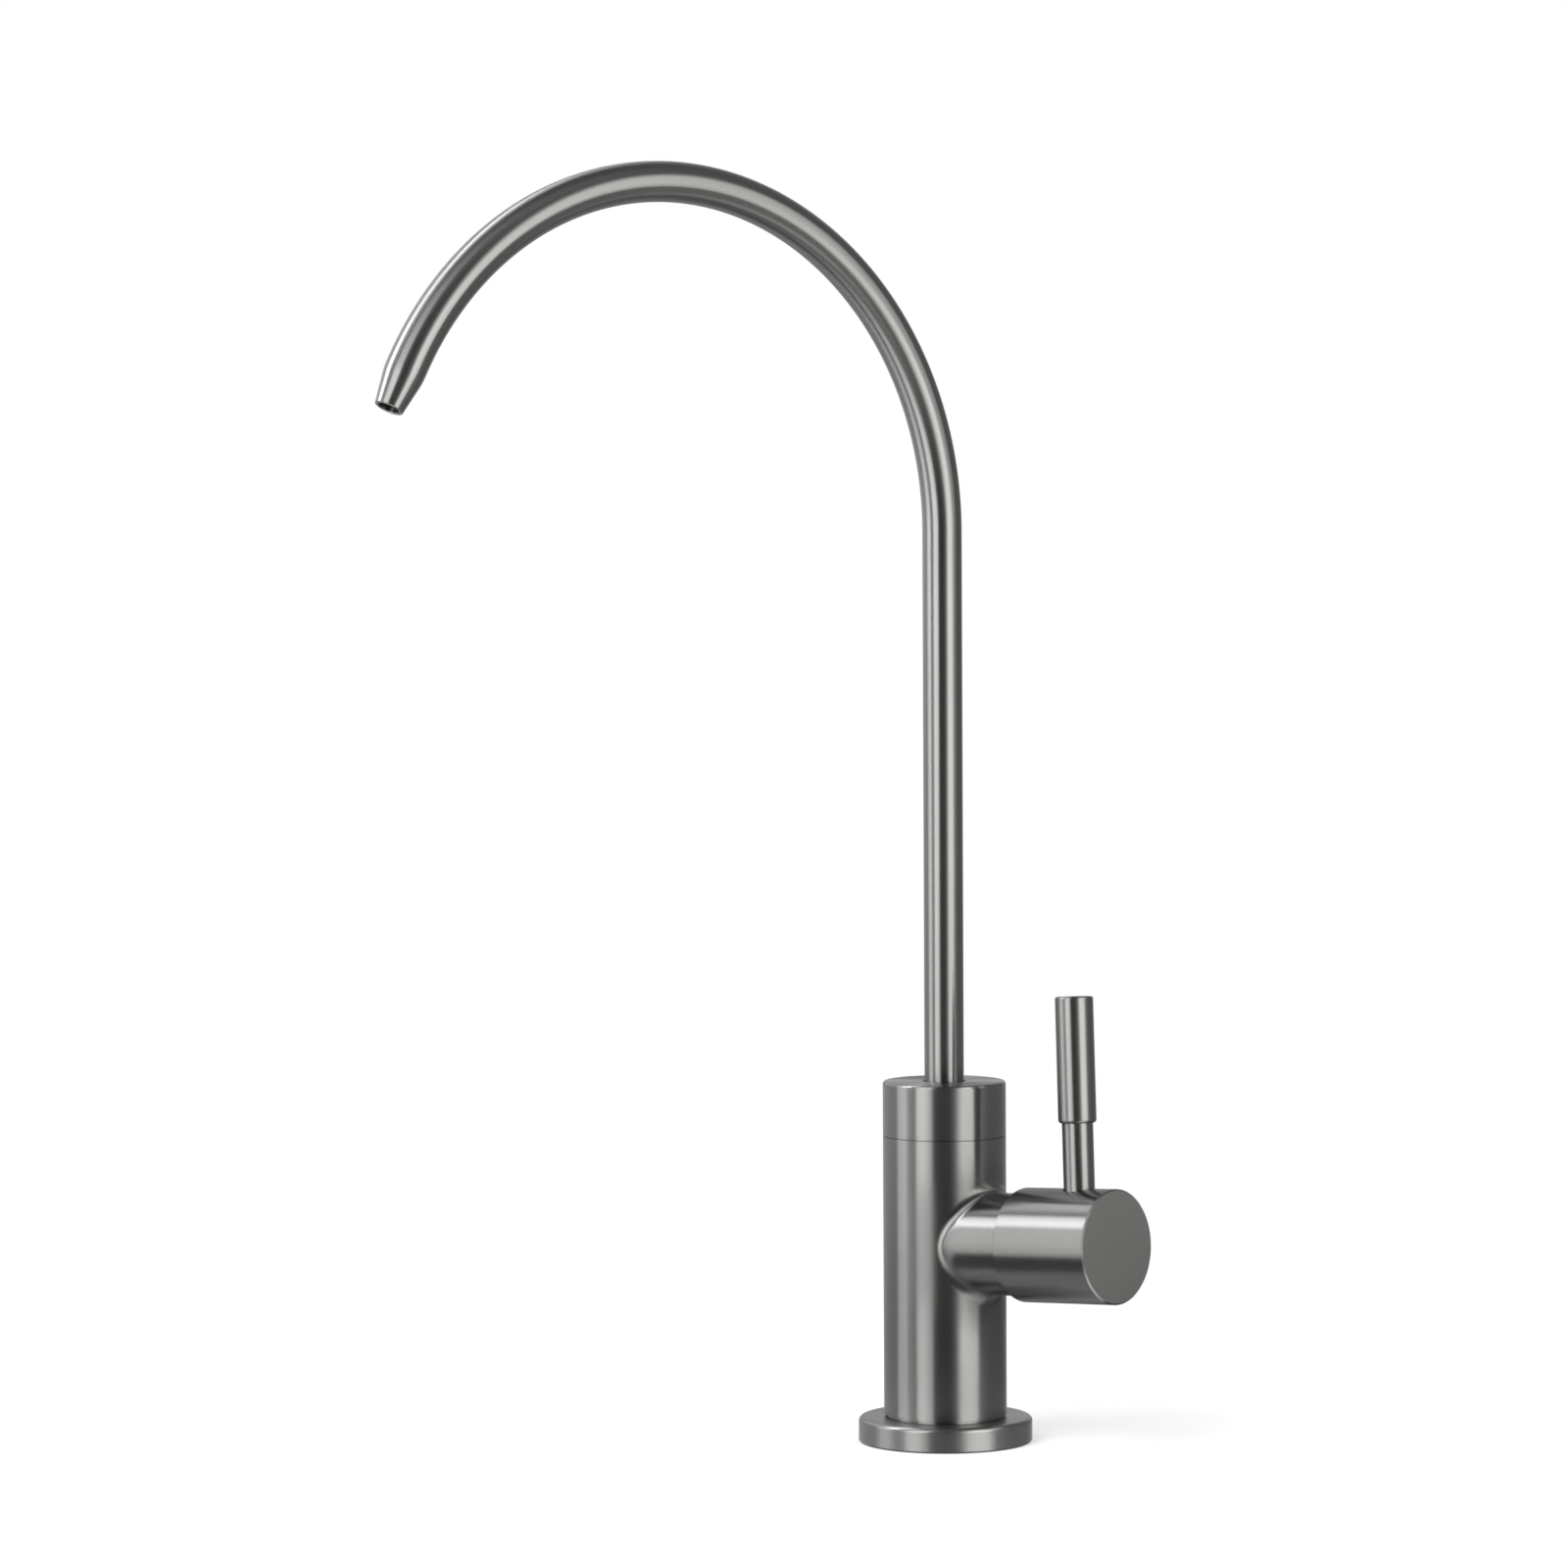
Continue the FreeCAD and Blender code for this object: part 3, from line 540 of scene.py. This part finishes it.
def swept(name, outline, path, segments=TUBE_SEGMENTS):
    """A closed mesh of the outline turned round a path, with its true normals and U along the path."""
    vertices = []
    normals = []
    for place, normal in outline:
        point, ahead, side = path(place.y)
        other = ahead.cross(side)
        for segment in range(segments):
            angle = 2 * math.pi * segment / segments
            out = side * math.cos(angle) + other * math.sin(angle)
            vertices.append(point + out * place.x)
            normals.append(out * normal.x + ahead * normal.y)
    rings = len(outline)
    lengths = [0.0]
    for ring in range(rings):
        here = outline[ring][0]
        there = outline[(ring + 1) % rings][0]
        lengths.append(lengths[-1] + (there - here).length)
    faces = []
    uvs = []
    for ring in range(rings):
        following = (ring + 1) % rings
        for segment in range(segments):
            beside = (segment + 1) % segments
            corners = (
                ring * segments + segment,
                ring * segments + beside,
                following * segments + beside,
                following * segments + segment,
            )
            faces.append(corners)
            low, high = lengths[ring], lengths[ring + 1]
            left, right = segment / segments, (segment + 1) / segments
            uvs.extend(((low, left), (low, right), (high, right), (high, left)))
    mesh = bpy.data.meshes.new(name)
    mesh.from_pydata(vertices, [], faces)
    layer = mesh.uv_layers.new(name="UVMap")
    for index, uv in enumerate(uvs):
        layer.data[index].uv = uv
    for polygon in mesh.polygons:
        polygon.use_smooth = True
    mesh.normals_split_custom_set_from_vertices(normals)
    piece = bpy.data.objects.new(name, mesh)
    bpy.context.scene.collection.objects.link(piece)
    return piece


def add_gooseneck():
    """The tube: a straight riser, one long bend, a short straight and a swaged outlet, with its bore."""
    low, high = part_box("spout_tube")
    heading = Vector((math.cos(SPOUT_HEADING), math.sin(SPOUT_HEADING), 0.0))
    across = Vector((0.0, 0.0, 1.0)).cross(heading)
    bend_z = high.z - BEND_R - TUBE_D / 2
    riser = bend_z - low.z
    bend = BEND_R * BEND_SWEEP
    end = riser + bend

    def path(along):
        turn = min(max((along - riser) / BEND_R, 0.0), BEND_SWEEP)
        ahead = Vector((0.0, 0.0, math.cos(turn))) + heading * math.sin(turn)
        point = Vector((0.0, 0.0, bend_z + BEND_R * math.sin(turn)))
        point += heading * BEND_R * (1 - math.cos(turn))
        point += ahead * (min(along - riser, 0.0) + max(along - end, 0.0))
        return point, ahead, across

    radius = TUBE_D / 2
    mouth = OUTLET_D / 2
    drop = radius - mouth
    reach = math.hypot(OUTLET_TAPER, OUTLET_BLEND_R - drop)
    turn = math.atan2(OUTLET_TAPER, OUTLET_BLEND_R - drop) - math.acos(OUTLET_BLEND_R / reach)
    neck = end + OUTLET_STRAIGHT + OUTLET_BLEND_R * math.tan(turn / 2)
    tip = end + OUTLET_STRAIGHT + OUTLET_TAPER
    corners = (
        (radius - TUBE_WALL, 0.0, RIM_ROUND),
        (radius, 0.0, RIM_ROUND),
        (radius, neck, OUTLET_BLEND_R),
        (mouth, tip, RIM_ROUND),
        (mouth - TUBE_WALL, tip, RIM_ROUND),
        (radius - TUBE_WALL, neck, OUTLET_BLEND_R),
    )
    outline = rounded_outline(corners)
    return swept("gooseneck", with_rings(outline, riser, end), path)


def with_rings(outline, start, end, step=BEND_STEP):
    """The outline with rings added where it follows the bend, so that the bend is smooth."""
    filled = []
    count = len(outline)
    for number in range(count):
        place, normal = outline[number]
        following = outline[(number + 1) % count][0]
        filled.append((place, normal))
        low, high = sorted((place.y, following.y))
        low, high = max(low, start), min(high, end)
        if high - low < step:
            continue
        steps = math.ceil((high - low) / step)
        stops = [low + (high - low) * index / steps for index in range(steps + 1)]
        if following.y < place.y:
            stops.reverse()
        for stop in stops:
            if min(abs(stop - place.y), abs(stop - following.y)) > RING_CLEARANCE * step:
                share = (stop - place.y) / (following.y - place.y)
                filled.append((place.lerp(following, share), normal))
    return filled


def thread_height(phase):
    """From 0 on the thread's root to 1 on its crest, over one pitch."""
    from_crest = abs((phase + 0.5) % 1.0 - 0.5)
    flank = 0.5 - THREAD_CREST / 2 - THREAD_ROOT / 2
    return min(max(1.0 - (from_crest - THREAD_CREST / 2) / flank, 0.0), 1.0)


def add_thread(form, low, high, radius):
    """Rows of faces that climb with the helix past both ends, then are cut flat there."""
    phases = (
        0.0,
        THREAD_CREST / 2,
        0.5 - THREAD_ROOT / 2,
        0.5,
        0.5 + THREAD_ROOT / 2,
        1.0 - THREAD_CREST / 2,
    )
    rows = []
    for turn in range(math.floor(low / THREAD_PITCH) - 2, math.ceil(high / THREAD_PITCH) + 1):
        for phase in phases:
            threaded = radius - THREAD_DEPTH * (1.0 - thread_height(phase))
            row = []
            for column in range(THREAD_COLUMNS + 1):
                angle = 2 * math.pi * column / THREAD_COLUMNS
                z = THREAD_PITCH * (turn + phase + column / THREAD_COLUMNS)
                from_end = max(min(z - low, high - z), 0.0)
                out = min(threaded, radius - SHANK_BEVEL + from_end)
                row.append(form.verts.new((out * math.cos(angle), out * math.sin(angle), z)))
            rows.append(row)
    for lower, upper in zip(rows, rows[1:]):
        for column in range(THREAD_COLUMNS):
            form.faces.new((lower[column], lower[column + 1], upper[column + 1], upper[column]))
    bmesh.ops.remove_doubles(form, verts=form.verts, dist=THREAD_MERGE)
    for end, way in ((low, -1.0), (high, 1.0)):
        everything = form.verts[:] + form.edges[:] + form.faces[:]
        cut = {"plane_co": (0, 0, end), "plane_no": (0, 0, way), "clear_outer": True}
        bmesh.ops.bisect_plane(form, geom=everything, **cut)


def add_bore(form, low, high, radius):
    """The bore's wall, and the flat rings that join it to the ends of the thread."""
    rims = [edge for edge in form.edges if edge.is_boundary]
    circles = []
    for end in (low, high):
        circle = []
        for column in range(THREAD_COLUMNS):
            angle = 2 * math.pi * column / THREAD_COLUMNS
            circle.append(form.verts.new((radius * math.cos(angle), radius * math.sin(angle), end)))
        circles.append(circle)
    lower, upper = circles
    for column in range(THREAD_COLUMNS):
        beside = (column + 1) % THREAD_COLUMNS
        form.faces.new((lower[beside], lower[column], upper[column], upper[beside]))
    for end, circle in zip((low, high), circles):
        edges = [edge for edge in rims if abs(edge.verts[0].co.z - end) < THREAD_MERGE]
        edges += [edge for edge in form.edges if edge.verts[0] in circle and edge.verts[1] in circle]
        bmesh.ops.bridge_loops(form, edges=edges)


def add_threaded_stem():
    """The shank with its real thread and its bore."""
    low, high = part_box("shank")
    form = bmesh.new()
    add_thread(form, low.z, high.z, (high.x - low.x) / 2)
    add_bore(form, low.z, high.z, SHANK_BORE_D / 2)
    bmesh.ops.recalc_face_normals(form, faces=form.faces)
    mesh = bpy.data.meshes.new("threaded_stem")
    form.to_mesh(mesh)
    form.free()
    for polygon in mesh.polygons:
        polygon.use_smooth = True
    mesh.set_sharp_from_angle(angle=SHARP_ANGLE)
    piece = bpy.data.objects.new("threaded_stem", mesh)
    bpy.context.scene.collection.objects.link(piece)
    return piece


# Materials
def turned_about(graph, axis):
    """The place in the grain, the distance from the axis, and the way that brushing smears a highlight."""
    point, way = axis
    offset = graph.vector("SUBTRACT", graph.add("TexCoord").outputs["Object"], point)
    along = graph.vector("DOT_PRODUCT", offset, way, "Value")
    outward = graph.vector("SUBTRACT", offset, graph.scaled(way, along))
    out = graph.vector("LENGTH", outward, output="Value")
    outward = graph.vector("NORMALIZE", outward)
    round_it = graph.scaled(outward, TURN_RADIUS)
    lines = graph.vector("ADD", round_it, graph.scaled(way, graph.math("DIVIDE", along, LINE_PITCH)))
    smear = graph.vector("ADD", outward, [SMEAR_ALONG * part for part in way])
    return lines, out, smear


def along_tube(graph):
    """The same three for the gooseneck, whose UV map runs along it and round it."""
    place = graph.add("SeparateXYZ", {0: graph.add("UVMap", uv_map="UVMap").outputs[0]})
    angle = graph.math("MULTIPLY", place.outputs["Y"], 2 * math.pi)
    lines = graph.add("CombineXYZ", {
        "X": graph.math("MULTIPLY", graph.math("COSINE", angle), TURN_RADIUS),
        "Y": graph.math("MULTIPLY", graph.math("SINE", angle), TURN_RADIUS),
        "Z": graph.math("DIVIDE", place.outputs["X"], LINE_PITCH),
    }).outputs[0]
    return lines, 0.0, graph.add("Tangent", direction_type="UV_MAP", uv_map="UVMap").outputs[0]


def mixed(graph, share, first, second, kind="FLOAT"):
    """First where the share is 0 and second where it is 1. The node has its own sockets for each kind."""
    start, end, result = {"FLOAT": (2, 3, 0), "VECTOR": (4, 5, 1)}[kind]
    return graph.add("Mix", {0: share, start: first, end: second}, data_type=kind).outputs[result]


def in_world(graph, way):
    settings = {"vector_type": "VECTOR", "convert_from": "OBJECT", "convert_to": "WORLD"}
    return graph.add("VectorTransform", {"Vector": way}, **settings).outputs[0]


def brushed_grain(graph, lines, out):
    return graph.noise(lines, 1.0, GRAIN_DETAIL, graph.math("DIVIDE", out, LINE_PITCH))


def metal_surface(graph, colour, rough, anisotropic, grain, tangent):
    """Joins the shader of a turned or brushed metal. Its grain varies the colour and lifts the surface."""
    broad = graph.noise(graph.add("TexCoord").outputs["Object"], BROAD_SCALE, BROAD_DETAIL)
    fine_shade = graph.mapped(grain, *SHADE_SPREAD, *GRAIN_SHADE)
    broad_shade = graph.mapped(broad, *SHADE_SPREAD, *BROAD_SHADE)
    shade = graph.math("ADD", fine_shade, broad_shade)
    bump = graph.add("Bump", {"Height": grain, "Strength": GRAIN_STRENGTH, "Distance": GRAIN_DEPTH})
    shader = graph.add("BsdfPrincipled", {
        "Base Color": graph.scaled(colour, graph.math("ADD", 1.0, shade)),
        "Metallic": 1.0,
        "Roughness": rough,
        "Anisotropic": anisotropic,
        "Tangent": tangent,
        "Normal": bump.outputs[0],
    })
    graph.set(graph.add("OutputMaterial").inputs["Surface"], shader.outputs[0])


def fillet_share(graph, branch_out):
    """1 on the fillet round the branch, fading out over the body beside it, and 0 on its far side."""
    start = BRANCH_R + FILLET_START * FILLET_SIZE
    end = BRANCH_R + FILLET_SIZE
    rising = graph.mapped(branch_out, BRANCH_R, start, 0.0, 1.0, "SMOOTHSTEP")
    falling = graph.mapped(branch_out, end, end + FILLET_FADE, 1.0, 0.0, "SMOOTHSTEP")
    place = graph.add("SeparateXYZ", {0: graph.add("TexCoord").outputs["Object"]})
    side = graph.mapped(place.outputs["X"], 0.0, FILLET_SIDE, 0.0, 1.0)
    return graph.math("MULTIPLY", graph.math("MULTIPLY", rising, falling), side)


def gunmetal(
    name, axis=None, branch_axis=None, face=None, rough=BRUSHED_ROUGHNESS, smear=BRUSHED_SMEAR, shade=1.0
):
    """Brushed round the axis, or round the tube where none is given. A branch is brushed round an axis
    of its own, and the end that faces along face is blasted."""
    material, graph = new_graph(name)
    if axis is None:
        lines, out, tangent = along_tube(graph)
    else:
        lines, out, tangent = turned_about(graph, axis)
    on_fillet = 0.0
    if branch_axis is not None:
        branch_lines, branch_out, branch_tangent = turned_about(graph, branch_axis)
        share = graph.mapped(out, BODY_R, BODY_R + FILLET_SIZE, 0.0, 1.0)
        lines = mixed(graph, share, lines, branch_lines, "VECTOR")
        out = mixed(graph, share, out, branch_out)
        tangent = mixed(graph, share, tangent, branch_tangent, "VECTOR")
        on_fillet = fillet_share(graph, branch_out)
    if axis is not None:
        tangent = in_world(graph, tangent)
    grain = brushed_grain(graph, lines, out)
    rough = graph.mapped(grain, *GRAIN_SPREAD, *rough)
    rough = mixed(graph, on_fillet, rough, FILLET_ROUGHNESS)
    if face is not None:
        normal = graph.add("TexCoord").outputs["Normal"]
        towards = graph.vector("DOT_PRODUCT", normal, face, "Value")
        rough = mixed(graph, graph.mapped(towards, *FACE_EDGE, 0.0, 1.0), rough, FACE_ROUGHNESS)
        flat = graph.mapped(towards, *FACE_FLAT, 0.0, 1.0)
        level = graph.add("CombineXYZ", {"Y": 1.0}).outputs[0]
        tangent = mixed(graph, flat, tangent, level, "VECTOR")
    # A shade below 1 darkens the whole colour: painted shade, given to the lever
    colour = [shade * part for part in GUNMETAL]
    metal_surface(graph, colour, rough, smear, grain, tangent)
    return material


def turned_metal(name, colour, axis):
    """Bare metal with fine tool marks round an axis."""
    material, graph = new_graph(name)
    lines, out, tangent = turned_about(graph, axis)
    grain = brushed_grain(graph, lines, out)
    rough = graph.mapped(grain, *GRAIN_SPREAD, *TURNED_ROUGHNESS)
    metal_surface(graph, colour, rough, TURNED_SMEAR, grain, in_world(graph, tangent))
    return material


def moulded(name, colour, rough, grain_size, depth, variation=0.03, specular=0.5):
    """Rubber, plastic or ceramic with a fine even grain."""
    material, graph = new_graph(name)
    place = graph.add("TexCoord").outputs["Object"]
    grain = graph.noise(place, 1.0 / grain_size, GRAIN_DETAIL)
    broad = graph.noise(place, MOULDED_SCALE, BROAD_DETAIL)
    bright = graph.mapped(broad, *SHADE_SPREAD, 1.0 - variation, 1.0 + variation)
    bump = graph.add("Bump", {"Height": grain, "Strength": MOULDED_STRENGTH, "Distance": depth})
    shader = graph.add("BsdfPrincipled", {
        "Base Color": graph.scaled(colour, bright),
        "Roughness": graph.mapped(grain, *SHADE_SPREAD, *rough),
        "Specular IOR Level": specular,
        "Normal": bump.outputs[0],
    })
    graph.set(graph.add("OutputMaterial").inputs["Surface"], shader.outputs[0])
    return material


def dress(names, material):
    """Gives each of these nodes this one material."""
    for name in names:
        node = NODES[name]
        node.data.materials.clear()
        node.data.materials.append(material)


add_camera()
add_world()
add_floor()
add_lamp("key_lamp", azimuth=-40, elevation=45, power=14.0, size=1.0)
add_lamp("fill_lamp", azimuth=45, elevation=35, power=8.0, size=1.0)
add_studio()

dress(("base_flange",), gunmetal("gunmetal_base", UPRIGHT, rough=BASE_ROUGHNESS, smear=BASE_SMEAR))
dress(("top_cap",), gunmetal("gunmetal_cap", UPRIGHT))
dress(("body",), gunmetal("gunmetal_body", UPRIGHT, HANDLE_AXIS))
dress(("handle_cap",), gunmetal("gunmetal_handle", HANDLE_AXIS, face=HANDLE_OUT))
# The lever's gunmetal is darker than the rest: painted shade
dress(("lever_rod", "lever_sleeve"), gunmetal("gunmetal_lever", LEVER_AXIS, shade=LEVER_PAINTED_SHADE))
gooseneck = add_gooseneck()
gooseneck.data.materials.append(gunmetal("gunmetal_gooseneck"))
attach(gooseneck, "spout")
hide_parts("spout_tube")

# What is inside the faucet or below the counter
steel = turned_metal("plain_steel", PLAIN_STEEL, UPRIGHT)
dress(("steel_washer", "lock_washer", "mounting_nut"), steel)
dress(("stop_ring", "spindle_clip"), turned_metal("valve_steel", PLAIN_STEEL, HANDLE_AXIS))
dress(("spout_bush",), turned_metal("bush_brass", BRASS, UPRIGHT))
dress(("cartridge_housing", "spindle"), turned_metal("valve_brass", BRASS, HANDLE_AXIS))
rubber = moulded(
    "rubber", RUBBER, rough=(0.5, 0.7), grain_size=0.00018, depth=0.00002, variation=0.12, specular=0.35
)
dress(("base_gasket", "rubber_washer", "shank_seal", "fitting_seal", "fitting_o_ring"), rubber)
dress(("spout_o_rings", "seat_seal", "cartridge_o_ring", "spindle_o_rings"), rubber)
slip_plastic = moulded("slip_plastic", SLIP_PLASTIC, rough=(0.30, 0.42), grain_size=0.0003, depth=0.00001)
dress(("lower_slip_ring", "upper_slip_ring", "thrust_washer"), slip_plastic)
fitting_plastic = moulded(
    "fitting_plastic", FITTING_PLASTIC, rough=(0.38, 0.50), grain_size=0.0004, depth=0.000012
)
dress(("tube_fitting", "tube_collet"), fitting_plastic)
ceramic = moulded("ceramic", CERAMIC, rough=(0.10, 0.18), grain_size=0.0002, depth=0.000003, variation=0.02)
dress(("fixed_disc", "moving_disc"), ceramic)
stem = add_threaded_stem()
stem.data.materials.append(steel)
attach(stem, "faucet")
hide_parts("shank")

bpy.context.scene.view_settings.view_transform = "Standard"
